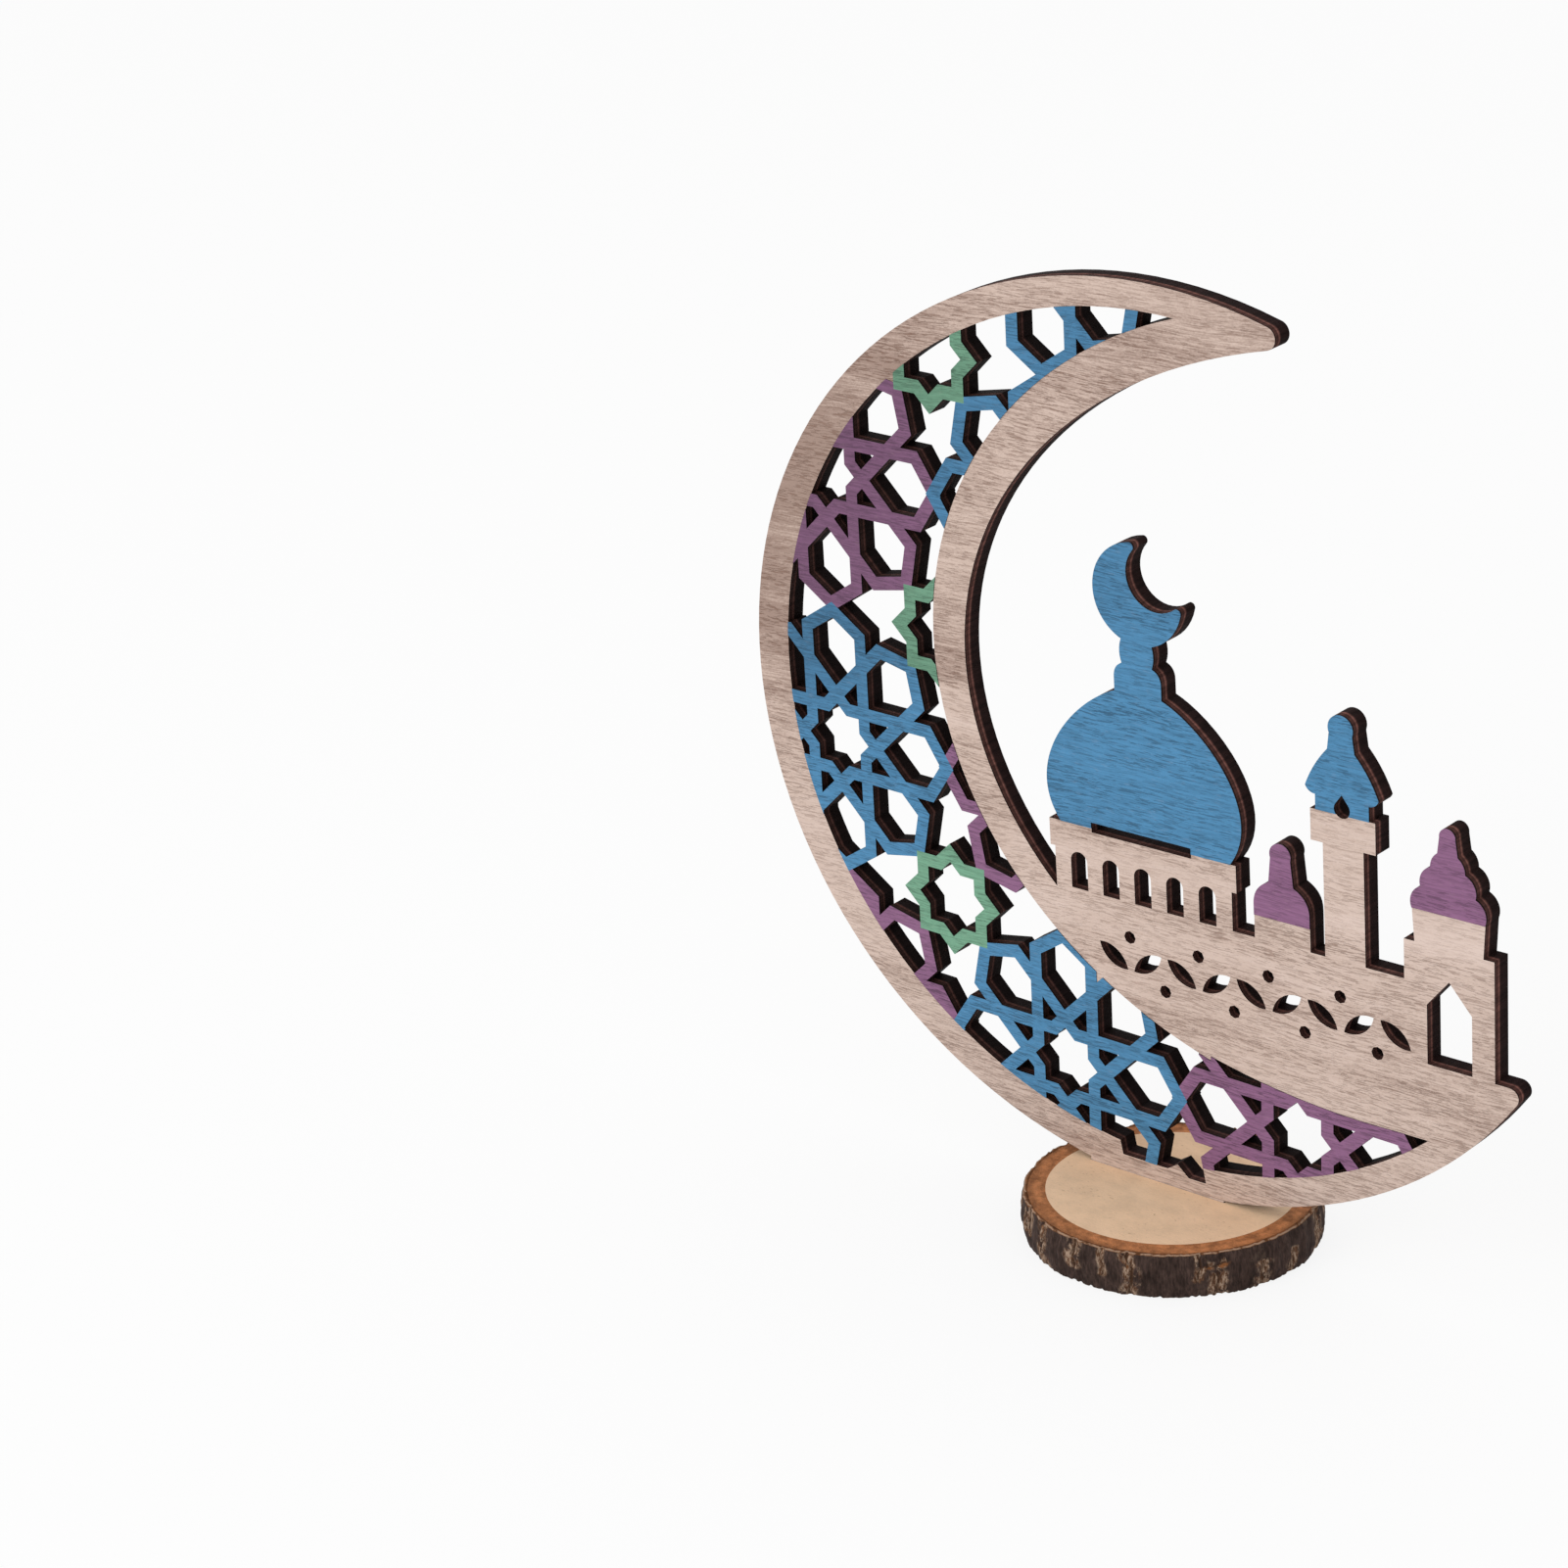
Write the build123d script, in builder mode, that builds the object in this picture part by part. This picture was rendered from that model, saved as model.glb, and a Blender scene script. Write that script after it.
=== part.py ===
from build123d import *
import os
from math import cos, radians, sin, sqrt, tan

os.makedirs("parts", exist_ok=True)

# A pierced plywood crescent with a painted skyline, standing by its tongue in a slotted wood slice.
# All sizes are in millimetres. X runs to the right across the front, Y to the back and Z up.
# The origin is the centre of the slice's underside. The panel's drawing is measured from the
# centre of the crescent's outer rim: its x runs to the right and its y runs up.

# Plywood panel and the crescent's rim
panel_thickness = 5.0
paint_coat = 0.15
rim_half_width = 108.3
rim_half_height = 102.6
rim_shift = -2.4
rim_sink = 0.8
horn_tip_radius = 2.5

# Mouth of the crescent
waist_width = 60.3
mouth_half_width = 114.6
mouth_half_height = 83.4
mouth_rise = 12.8

# Field of the lattice between its plain borders
outer_border_side = 8.8
outer_border_height = 6.7
field_half_width = 101.3
field_rise = 0.6
inner_border_side = 8.6
inner_border_height = 3.5
field_mouth_half_width = 103.0
field_mouth_rise = 14.5
least_border = 3.5
dip_left = -10.9
dip_right = 11.4
dip_rise = 4.8
dip_height = 7.2
dip_lean = 1.4
tooth_left = 1.2
tooth_tip = 3.9
tooth_right = 6.8
tooth_rise = 6.6
notch_rise = 4.0
heel_left = 14.0
heel_left_rise = 35.6
heel_middle = 33.0
heel_middle_rise = 32.2
heel_right = 61.0
heel_foot_rise = 27.0
smallest_gap = 1.95

# Eight-fold lattice on a nearly square grid
lattice_fold = 8
column_pitch = 61.5
row_pitch = 63.4
lattice_tilt = -0.95
first_rosette_x = -86.0
first_rosette_y = -14.8
star_half_width = 7.6
bar_width = 3.1
petal_tip_angle = 56.5
petal_overlap = 0.4
ring_tip_radius = 11.35

# Ground that carries the skyline, with the low tip to the right of it
ground_rise = 66.8
tip_drop = 18.1
tip_run = 7.45
tip_radius = 2.2

# Arcade under the dome
arcade_x = -2.5
arcade_width = 46.5
arcade_height = 8.9
ledge_width = 49.0
ledge_height = 6.3
arch_count = 5
arch_pitch = 8.45
arch_width = 4.4
arch_height = 8.7
dome_slot_width = 26.2
dome_slot_height = 2.4
dome_slot_drop = 1.0

# Dome, its two collars and its finial crescent
dome_x = -1.6
dome_height = 33.4
dome_foot_half = 22.2
dome_belly_half = 25.4
dome_belly_height = 10.0
dome_shoulder_half = 21.4
dome_shoulder_height = 20.8
collar_half = 6.1
collar_wall = 3.2
collar_height = 6.6
collar_slope = 0.4
bead_half = 3.9
bead_swell = 0.5
bead_height = 5.4
finial_radius = 11.4
finial_shift = 0.7
finial_overlap = 0.9
finial_bite_radius = 7.6
finial_bite_x = 5.0
finial_bite_y = 4.6
finial_tip_radius = 1.0

# Small domed turret
turret_x = 33.4
turret_half = 7.0
turret_wall = 7.8
turret_shoulder_half = 3.1
turret_shoulder = 13.6
turret_slope = 0.5
turret_spire_half = 2.5
turret_spire = 19.4
turret_height = 22.9
turret_paint_level = 5.3

# Minaret with a balcony, a lantern and an eaved roof
minaret_x = 49.0
shaft_half = 4.95
shaft_height = 25.7
balcony_half = 7.9
balcony_height = 7.1
lantern_half = 6.5
lantern_height = 3.4
eave_half = 8.9
eave_rise = 1.6
eave_radius = 2.5
roof_half = 6.5
roof_rise = 6.4
roof_shoulder_half = 3.3
roof_shoulder = 10.6
roof_spire_half = 2.8
roof_spire = 14.3
roof_height = 18.5
drop_radius = 1.95
drop_height = 5.2
drop_sink = 0.7

# Tower at the right with its lobed cap and pointed window
tower_half = 10.7
tower_height = 9.0
tower_neck_foot_half = 8.15
tower_neck_half = 8.65
tower_neck_height = 7.4
lobe_one_half = 6.5
lobe_one_top = 5.2
lobe_two_half = 4.1
lobe_two_top = 10.0
lobe_three_half = 2.4
lobe_three_top = 13.4
lobe_radius = 4.0
cap_spire_half = 1.9
cap_spire = 17.0
cap_height = 19.2
window_half = 5.35
window_sill_drop = 18.0
window_shoulder_drop = 4.5
window_point_rise = 1.8

# Pierced garland of leaves and berries under the skyline
garland_x = 25.0
garland_drop = 13.6
leaf_count = 9
leaf_pitch = 9.0
leaf_length = 9.0
leaf_width = 3.7
leaf_tilt = 35.0
berry_radius = 1.5
berry_sides = 8
berry_offset = 5.3

# Tongue and its slot
tongue_shift = -2.0
tongue_width = 36.0
tongue_depth = 6.0
tongue_root = 3.0
slot_clearance = 0.15
slot_setback = 3.0

# Wood slice with its inner and outer bark
slice_thickness = 10.3
wood_radius = 26.7
inner_bark = 3.9
outer_bark = 0.9
slice_oval = 1.15
slice_oval_turn = 18.0

# Places that follow from the sizes
front_y = slot_setback - panel_thickness / 2
rim_z = slice_thickness + rim_half_height - rim_sink
beyond = 2 * (rim_half_width + rim_half_height)
mouth_x = mouth_half_width + waist_width - rim_half_width
field_x = field_half_width + outer_border_side - rim_half_width
field_half_height = rim_half_height - outer_border_height
field_mouth_x = field_mouth_half_width + waist_width - inner_border_side - rim_half_width
field_mouth_half_height = mouth_half_height + inner_border_height
slice_top_level = slice_thickness - rim_z
tongue_level = slice_top_level - tongue_depth
half_step = 180 / lattice_fold
rim_foot_level = -rim_half_height
ground_level = rim_foot_level + ground_rise
tip_level = ground_level - tip_drop
tip_x = rim_half_width * sqrt(1 - (tip_level / rim_half_height) ** 2)
tower_x = tip_x - tip_run - tower_half
garland_level = ground_level - garland_drop
heel_left_point = (heel_left, rim_foot_level + heel_left_rise)
heel_middle_point = (heel_middle, rim_foot_level + heel_middle_rise)
heel_right_share = (heel_right - field_mouth_x) / field_mouth_half_width
heel_right_level = field_mouth_rise - field_mouth_half_height * sqrt(1 - heel_right_share**2)
heel_right_point = (heel_right, heel_right_level)
heel_foot_level = rim_foot_level + heel_foot_rise
dip_level = rim_foot_level + dip_rise
dip_top = dip_level + dip_height
tooth_level = rim_foot_level + tooth_rise
notch_level = rim_foot_level + notch_rise
ground_left = arcade_x - arcade_width / 2
ground_right = tower_x + tower_half
roof_level = ground_level + arcade_height + ledge_height
lantern_foot = shaft_height + balcony_height
cap_foot = tower_height + tower_neck_height
arcade_spot = Location((arcade_x, ground_level, 0))
dome_spot = Location((dome_x, roof_level, 0))
turret_spot = Location((turret_x, ground_level, 0))
minaret_spot = Location((minaret_x, ground_level, 0))
tower_spot = Location((tower_x, ground_level, 0))
upward = (0, 1)
front_plane = Plane(origin=(rim_shift, front_y, rim_z), x_dir=(1, 0, 0), z_dir=(0, -1, 0))

# Rosettes and rings by their column and row on the lattice grid
blue_rosettes = [(0, 0), (1, -1), (1, 1)]
horn_rosettes = [(1, 2)]
purple_rosettes = [(0, 1), (2, -1), (0, -1)]
mouth_rosettes = [(1, 0)]
green_rings = [(0.5, -0.5), (0.5, 0.5), (0.5, 1.5)]


def polar(radius, angle):
    """A point of the drawing at a radius and an angle in degrees."""
    return (radius * cos(radians(angle)), radius * sin(radians(angle)))


def grid_spot(column, row):
    """The place and turn of a rosette or ring on the tilted grid."""
    step = Vector(column * column_pitch, row * row_pitch).rotate(Axis.Z, lattice_tilt)
    return Location((first_rosette_x + step.X, first_rosette_y + step.Y, 0), (0, 0, lattice_tilt))


def star_points(tip_radius):
    """The corners of an eight-pointed star made of two crossed squares."""
    notch_radius = tip_radius * cos(radians(2 * half_step)) / cos(radians(half_step))
    radii = [tip_radius, notch_radius] * lattice_fold
    return [polar(radius, half_step * k) for k, radius in enumerate(radii)]


def spire_tip(half, foot, top):
    """The right half of a spire's round tip, from its side to its top."""
    rise = top - foot
    RadiusArc((half, foot), (0, top), -(half**2 + rise**2) / (2 * rise))


def upper_part(shape, level):
    """The part of a shape above a level of its own."""
    with BuildSketch() as top:
        add(shape)
        with Locations((0, level)):
            Rectangle(beyond, beyond, align=(Align.CENTER, Align.MIN), mode=Mode.INTERSECT)
    return top.sketch


# Crescent between its rim and its mouth
with BuildSketch() as crescent:
    Ellipse(rim_half_width, rim_half_height)
    with Locations((mouth_x, mouth_rise)):
        Ellipse(mouth_half_width, mouth_half_height, mode=Mode.SUBTRACT)
    fillet(crescent.vertices().sort_by(Axis.Y)[-1], horn_tip_radius)

# Ground under the skyline, cut off by the rim
with BuildSketch() as city_block:
    with Locations((ground_left, ground_level)):
        Rectangle(ground_right - ground_left, beyond, align=(Align.MIN, Align.MAX))
    with Locations((ground_left, tip_level)):
        Rectangle(beyond, beyond, align=(Align.MIN, Align.MAX))

with BuildSketch() as ground:
    Ellipse(rim_half_width, rim_half_height)
    add(city_block.sketch, mode=Mode.INTERSECT)
    fillet(ground.vertices().sort_by(Axis.X)[-1], tip_radius)

# Arcade, measured from the middle of its foot
with BuildSketch() as arcade:
    Rectangle(arcade_width, arcade_height, align=(Align.CENTER, Align.MIN))
    with Locations((0, arcade_height)):
        Rectangle(ledge_width, ledge_height, align=(Align.CENTER, Align.MIN))

with BuildSketch() as arch:
    Rectangle(arch_width, arch_height - arch_width / 2, align=(Align.CENTER, Align.MIN))
    with Locations((0, arch_height - arch_width / 2)):
        Circle(arch_width / 2)

# Dome with its collar, bead and finial crescent, measured from the middle of its foot
collar_top = dome_height + collar_height
bead_top = collar_top + bead_height
finial_y = bead_top + finial_radius - finial_overlap
with BuildSketch() as finial:
    with Locations((finial_shift, finial_y)):
        Circle(finial_radius)
    with Locations((finial_shift + finial_bite_x, finial_y + finial_bite_y)):
        Circle(finial_bite_radius, mode=Mode.SUBTRACT)
    fillet(finial.vertices().sort_by(Axis.X)[-2:], finial_tip_radius)

with BuildSketch() as dome:
    with BuildLine():
        Line((0, 0), (dome_foot_half, 0))
        Spline(
            (dome_foot_half, 0),
            (dome_belly_half, dome_belly_height),
            (dome_shoulder_half, dome_shoulder_height),
            (collar_half, dome_height),
        )
        Line((collar_half, dome_height), (collar_half, dome_height + collar_wall))
        Spline(
            (collar_half, dome_height + collar_wall),
            (bead_half, collar_top),
            tangents=(upward, (-1, collar_slope)),
        )
        ThreePointArc(
            (bead_half, collar_top),
            (bead_half + bead_swell, collar_top + bead_height / 2),
            (bead_half, bead_top),
        )
        Line((bead_half, bead_top), (0, bead_top))
        mirror(about=Plane.YZ)
    make_face()
    add(finial.sketch)

# Turret, measured from the middle of its foot
with BuildSketch() as turret:
    with BuildLine():
        Polyline((0, 0), (turret_half, 0), (turret_half, turret_wall))
        Spline(
            (turret_half, turret_wall),
            (turret_shoulder_half, turret_shoulder),
            tangents=(upward, (-1, turret_slope)),
        )
        Line((turret_shoulder_half, turret_shoulder), (turret_spire_half, turret_spire))
        spire_tip(turret_spire_half, turret_spire, turret_height)
        mirror(about=Plane.YZ)
    make_face()

# Minaret, measured from the middle of its foot
roof_foot = lantern_foot + lantern_height
with BuildSketch() as minaret:
    with BuildLine():
        Polyline(
            (0, 0),
            (shaft_half, 0),
            (shaft_half, shaft_height),
            (balcony_half, shaft_height),
            (balcony_half, lantern_foot),
            (lantern_half, lantern_foot),
            (lantern_half, roof_foot),
        )
        RadiusArc((lantern_half, roof_foot), (eave_half, roof_foot + eave_rise), -eave_radius)
        ThreePointArc(
            (eave_half, roof_foot + eave_rise),
            (roof_half, roof_foot + roof_rise),
            (roof_shoulder_half, roof_foot + roof_shoulder),
        )
        Line((roof_shoulder_half, roof_foot + roof_shoulder), (roof_spire_half, roof_foot + roof_spire))
        spire_tip(roof_spire_half, roof_foot + roof_spire, roof_foot + roof_height)
        mirror(about=Plane.YZ)
    make_face()

# Drop-shaped opening of the lantern, measured from the centre of its round foot
drop_tip = drop_height - drop_radius
drop_touch = drop_radius**2 / drop_tip
drop_touch_half = sqrt(drop_radius**2 - drop_touch**2)
with BuildSketch() as drop:
    Circle(drop_radius)
    with BuildLine():
        Polyline((0, drop_tip), (-drop_touch_half, drop_touch), (drop_touch_half, drop_touch), close=True)
    make_face()

# Tower, measured from the middle of its foot
with BuildSketch() as tower:
    with BuildLine():
        Polyline(
            (0, 0),
            (tower_half, 0),
            (tower_half, tower_height),
            (tower_neck_foot_half, tower_height),
            (tower_neck_half, cap_foot),
        )
        RadiusArc((tower_neck_half, cap_foot), (lobe_one_half, cap_foot + lobe_one_top), -lobe_radius)
        RadiusArc(
            (lobe_one_half, cap_foot + lobe_one_top),
            (lobe_two_half, cap_foot + lobe_two_top),
            -lobe_radius,
        )
        RadiusArc(
            (lobe_two_half, cap_foot + lobe_two_top),
            (lobe_three_half, cap_foot + lobe_three_top),
            -lobe_radius,
        )
        Line((lobe_three_half, cap_foot + lobe_three_top), (cap_spire_half, cap_foot + cap_spire))
        spire_tip(cap_spire_half, cap_foot + cap_spire, cap_foot + cap_height)
        mirror(about=Plane.YZ)
    make_face()

with BuildSketch() as window:
    with BuildLine():
        Polyline(
            (-window_half, -window_sill_drop),
            (window_half, -window_sill_drop),
            (window_half, -window_shoulder_drop),
            (0, window_point_rise),
            (-window_half, -window_shoulder_drop),
            close=True,
        )
    make_face()

# Leaf of the garland
with BuildSketch() as leaf:
    with BuildLine():
        ThreePointArc((-leaf_length / 2, 0), (0, leaf_width / 2), (leaf_length / 2, 0))
        ThreePointArc((leaf_length / 2, 0), (0, -leaf_width / 2), (-leaf_length / 2, 0))
    make_face()

# Rosette: a star, eight kites round it and eight petals that overlap those of the next column
petal_tip = (column_pitch + petal_overlap) / 2
petal_inner = star_half_width * sqrt(2)
petal_heel = star_half_width * (1 + sqrt(2))
petal_shoulder = petal_tip - star_half_width / tan(radians(petal_tip_angle))
with BuildSketch() as star_hole:
    with BuildLine():
        Polyline(*star_points(petal_inner), close=True)
    make_face()
    offset(amount=-bar_width / 2, kind=Kind.INTERSECTION)

with BuildSketch() as petal_hole:
    with BuildLine():
        Polyline(
            (petal_inner, 0),
            (petal_heel, star_half_width),
            (petal_shoulder, star_half_width),
            (petal_tip, 0),
            (petal_shoulder, -star_half_width),
            (petal_heel, -star_half_width),
            close=True,
        )
    make_face()
    offset(amount=-bar_width / 2, kind=Kind.INTERSECTION)

kite_notch = star_half_width / cos(radians(half_step))
kite_far = sqrt(petal_heel**2 + star_half_width**2)
with BuildSketch() as kite_hole:
    with BuildLine():
        Polyline(
            (kite_notch, 0),
            polar(petal_inner, half_step),
            (kite_far, 0),
            polar(petal_inner, -half_step),
            close=True,
        )
    make_face()
    offset(amount=-bar_width / 2, kind=Kind.INTERSECTION)

with BuildSketch() as petal_area:
    with BuildLine():
        Polyline(
            (0, 0),
            (petal_heel, star_half_width),
            (petal_shoulder, star_half_width),
            (petal_tip, 0),
            (petal_shoulder, -star_half_width),
            (petal_heel, -star_half_width),
            close=True,
        )
    make_face()

with BuildSketch() as rosette_area:
    with PolarLocations(0, lattice_fold):
        add(petal_area.sketch)
    offset(amount=bar_width / 2, kind=Kind.INTERSECTION)

with BuildSketch() as rosette:
    add(rosette_area.sketch)
    add(star_hole.sketch, mode=Mode.SUBTRACT)
    with PolarLocations(0, lattice_fold):
        add(petal_hole.sketch, mode=Mode.SUBTRACT)
    with PolarLocations(0, lattice_fold, start_angle=half_step):
        add(kite_hole.sketch, mode=Mode.SUBTRACT)

# Rosette in the horn, which has no petals on its left
left_petals = -star_half_width - bar_width / 2
with BuildSketch() as horn_rosette:
    add(rosette.sketch)
    with Locations((left_petals, 0)):
        Rectangle(beyond, beyond, align=(Align.MAX, Align.CENTER), mode=Mode.SUBTRACT)

# Rosette beside the mouth, of which the field holds only the petals on its left
with BuildSketch() as mouth_rosette:
    add(rosette.sketch)
    with Locations((left_petals, 0)):
        Rectangle(beyond, beyond, align=(Align.MIN, Align.CENTER), mode=Mode.SUBTRACT)

# Ring star between four rosettes
with BuildSketch() as ring_centre:
    with BuildLine():
        Polyline(*star_points(ring_tip_radius), close=True)
    make_face()

with BuildSketch() as ring_area:
    add(ring_centre.sketch)
    offset(amount=bar_width / 2, kind=Kind.INTERSECTION)

with BuildSketch() as ring_hole:
    add(ring_centre.sketch)
    offset(amount=-bar_width / 2, kind=Kind.INTERSECTION)

with BuildSketch() as ring:
    add(ring_area.sketch)
    add(ring_hole.sketch, mode=Mode.SUBTRACT)

# Low dip over the foot, with a tooth of wood in its floor
with BuildSketch() as dip:
    with BuildLine():
        Polyline(
            (dip_left - dip_lean, dip_top),
            (dip_left, dip_level),
            (tooth_left, dip_level),
            (tooth_tip, tooth_level),
            (tooth_right, notch_level),
            (dip_right, notch_level),
            (dip_right - dip_lean, dip_top),
            close=True,
        )
    make_face()

# Field of the lattice, with its dip and its heel under the skyline
with BuildSketch() as field:
    with Locations((field_x, field_rise)):
        Ellipse(field_half_width, field_half_height)
    add(dip.sketch)
    with Locations((field_mouth_x, field_mouth_rise)):
        Ellipse(field_mouth_half_width, field_mouth_half_height, mode=Mode.SUBTRACT)
    with BuildLine():
        ThreePointArc(heel_left_point, heel_middle_point, heel_right_point)
        Polyline(
            heel_right_point,
            (heel_right, heel_foot_level),
            (heel_left, heel_foot_level),
            heel_left_point,
        )
    make_face()
    with Locations(heel_right_point):
        Rectangle(beyond, beyond, align=(Align.MIN, Align.MIN), mode=Mode.SUBTRACT)
    Ellipse(rim_half_width - least_border, rim_half_height - least_border, mode=Mode.INTERSECT)

with BuildSketch() as lattice_gaps:
    add(field.sketch)
    with Locations(*[grid_spot(*spot) for spot in blue_rosettes + purple_rosettes]):
        add(rosette.sketch, mode=Mode.SUBTRACT)
    with Locations(*[grid_spot(*spot) for spot in horn_rosettes]):
        add(horn_rosette.sketch, mode=Mode.SUBTRACT)
    with Locations(*[grid_spot(*spot) for spot in mouth_rosettes]):
        add(mouth_rosette.sketch, mode=Mode.SUBTRACT)
    with Locations(*[grid_spot(*spot) for spot in green_rings]):
        add(ring.sketch, mode=Mode.SUBTRACT)
openings = [gap for gap in lattice_gaps.sketch.faces() if gap.area > smallest_gap**2]

# Drawing of the panel: its outline, its foot and every opening
with BuildSketch() as drawing:
    add(crescent.sketch)
    add(ground.sketch)
    with Locations(arcade_spot):
        add(arcade.sketch)
    with Locations(dome_spot):
        add(dome.sketch)
    with Locations(turret_spot):
        add(turret.sketch)
    with Locations(minaret_spot):
        add(minaret.sketch)
    with Locations(tower_spot):
        add(tower.sketch)
    with Locations((0, slice_top_level)):
        Rectangle(beyond, beyond, align=(Align.CENTER, Align.MAX), mode=Mode.SUBTRACT)
    with Locations((tongue_shift, tongue_level)):
        Rectangle(tongue_width, tongue_depth + tongue_root, align=(Align.CENTER, Align.MIN))
    add(openings, mode=Mode.SUBTRACT)
    with Locations(arcade_spot):
        with GridLocations(arch_pitch, 0, arch_count, 1):
            add(arch.sketch, mode=Mode.SUBTRACT)
    with Locations((arcade_x, roof_level - dome_slot_drop)):
        Rectangle(dome_slot_width, dome_slot_height, align=(Align.CENTER, Align.MIN), mode=Mode.SUBTRACT)
    with Locations((minaret_x, ground_level + lantern_foot - drop_sink + drop_radius)):
        add(drop.sketch, mode=Mode.SUBTRACT)
    with Locations(tower_spot):
        add(window.sketch, mode=Mode.SUBTRACT)
    for k in range(leaf_count):
        lean = leaf_tilt if k % 2 else -leaf_tilt
        leaf_x = garland_x + (k - (leaf_count - 1) / 2) * leaf_pitch
        with Locations(Location((leaf_x, garland_level, 0), (0, 0, lean))):
            add(leaf.sketch, mode=Mode.SUBTRACT)
        berry_side = berry_offset if k % 2 else -berry_offset
        if k > 0:
            with Locations((leaf_x - leaf_pitch / 2, garland_level + berry_side)):
                RegularPolygon(berry_radius, berry_sides, mode=Mode.SUBTRACT)

with BuildPart() as plywood_panel:
    with BuildSketch(front_plane):
        add(drawing.sketch)
    extrude(amount=-panel_thickness)
plywood_panel.part.label = "plywood_panel"
export_step(plywood_panel.part, "parts/plywood_panel.step")

# Painted bars of the lattice: each colour is kept to its own stars
with BuildSketch() as ring_paint:
    with Locations(*[grid_spot(*spot) for spot in green_rings]):
        add(ring_area.sketch)
    add(field.sketch, mode=Mode.INTERSECT)

with BuildSketch() as blue_bars:
    with Locations(*[grid_spot(*spot) for spot in blue_rosettes + horn_rosettes]):
        add(rosette_area.sketch)
    add(field.sketch, mode=Mode.INTERSECT)
    add(ring_paint.sketch, mode=Mode.SUBTRACT)

with BuildSketch() as purple_bars:
    with Locations(*[grid_spot(*spot) for spot in purple_rosettes + mouth_rosettes]):
        add(rosette_area.sketch)
    add(field.sketch, mode=Mode.INTERSECT)
    add(ring_paint.sketch, mode=Mode.SUBTRACT)
    add(blue_bars.sketch, mode=Mode.SUBTRACT)


def paint_film(area, name):
    """A coat of paint on the panel's front, wherever an area of the drawing has wood."""
    with BuildPart() as film:
        with BuildSketch(front_plane):
            add(drawing.sketch)
            add(area, mode=Mode.INTERSECT)
        extrude(amount=paint_coat)
    film.part.label = name
    return film


blue_star_film = paint_film(blue_bars.sketch, "blue_star_paint")
export_step(blue_star_film.part, "parts/blue_star_paint.step")
purple_star_film = paint_film(purple_bars.sketch, "purple_star_paint")
export_step(purple_star_film.part, "parts/purple_star_paint.step")
green_star_film = paint_film(ring_paint.sketch, "green_star_paint")
export_step(green_star_film.part, "parts/green_star_paint.step")
dome_film = paint_film(dome.sketch.moved(dome_spot), "dome_paint")
export_step(dome_film.part, "parts/dome_paint.step")
minaret_film = paint_film(upper_part(minaret.sketch, lantern_foot).moved(minaret_spot), "minaret_paint")
export_step(minaret_film.part, "parts/minaret_paint.step")
turret_film = paint_film(upper_part(turret.sketch, turret_paint_level).moved(turret_spot), "turret_paint")
export_step(turret_film.part, "parts/turret_paint.step")
tower_film = paint_film(upper_part(tower.sketch, cap_foot).moved(tower_spot), "tower_paint")
export_step(tower_film.part, "parts/tower_paint.step")


def slice_face(radius):
    """The slice's face out to a mean radius, a little oval as the branch grew."""
    with BuildSketch() as face:
        Ellipse(radius + slice_oval, radius - slice_oval, rotation=slice_oval_turn)
    return face.sketch


inner_bark_radius = wood_radius + inner_bark
outer_bark_radius = inner_bark_radius + outer_bark
slot_length = tongue_width + 2 * slot_clearance
slot_width = panel_thickness + 2 * slot_clearance
with BuildPart() as wood_disc:
    with BuildSketch():
        add(slice_face(wood_radius))
    extrude(amount=slice_thickness)
    with BuildSketch(Plane.XY.offset(slice_thickness)):
        with Locations((rim_shift + tongue_shift, slot_setback)):
            Rectangle(slot_length, slot_width)
    extrude(amount=-tongue_depth, mode=Mode.SUBTRACT)
wood_disc.part.label = "wood_disc"
export_step(wood_disc.part, "parts/wood_disc.step")

with BuildPart() as inner_bark_ring:
    with BuildSketch():
        add(slice_face(inner_bark_radius))
        add(slice_face(wood_radius), mode=Mode.SUBTRACT)
    extrude(amount=slice_thickness)
inner_bark_ring.part.label = "inner_bark"
export_step(inner_bark_ring.part, "parts/inner_bark.step")

with BuildPart() as outer_bark_ring:
    with BuildSketch():
        add(slice_face(outer_bark_radius))
        add(slice_face(inner_bark_radius), mode=Mode.SUBTRACT)
    extrude(amount=slice_thickness)
outer_bark_ring.part.label = "outer_bark"
export_step(outer_bark_ring.part, "parts/outer_bark.step")
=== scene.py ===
import math
import random

import bmesh
import bpy
from mathutils import Euler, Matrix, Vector, noise


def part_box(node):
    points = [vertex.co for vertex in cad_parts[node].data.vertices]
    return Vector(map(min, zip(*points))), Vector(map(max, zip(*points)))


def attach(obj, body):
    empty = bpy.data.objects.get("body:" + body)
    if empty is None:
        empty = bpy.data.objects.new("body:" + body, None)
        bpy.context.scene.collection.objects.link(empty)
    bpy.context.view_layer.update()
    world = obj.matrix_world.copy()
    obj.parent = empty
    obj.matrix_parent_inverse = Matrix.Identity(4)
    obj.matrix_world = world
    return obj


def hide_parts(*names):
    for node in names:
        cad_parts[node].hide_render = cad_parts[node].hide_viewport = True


bl_info = {
    "name": "Crescent Ornament",
    "version": (1, 0, 0),
    "blender": (4, 5, 0),
    "location": "3D View > Sidebar > Ornament",
    "description": "Veneer, charred edges, paint and bark for a plywood crescent on a wood slice",
    "category": "Object",
}

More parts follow.
